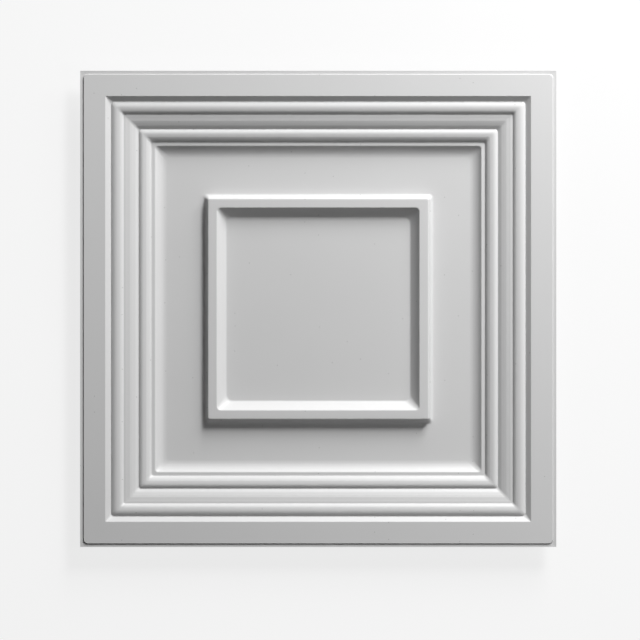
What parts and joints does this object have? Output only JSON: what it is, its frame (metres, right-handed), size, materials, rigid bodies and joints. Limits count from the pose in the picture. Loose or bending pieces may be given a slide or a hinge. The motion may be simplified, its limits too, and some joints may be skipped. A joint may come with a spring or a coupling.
{
  "type": "textured wall panel",
  "caption": "Square thermoformed wall panel: a raised border, stepped mouldings down to a sunk field, and a raised square frame in its middle.",
  "frame": {"origin": "centre of the panel on the plane that its back rests on", "axes": "+Z out of the decorated face, +X and +Y along two sides; +Y is the side that is up in the picture"},
  "size_m": [0.3048, 0.3048, 0.0127],
  "materials": {
    "sheet": "satin white vinyl"
  },
  "bodies": {
    "root": {"panel": "sheet"}
  },
  "joints": []
}
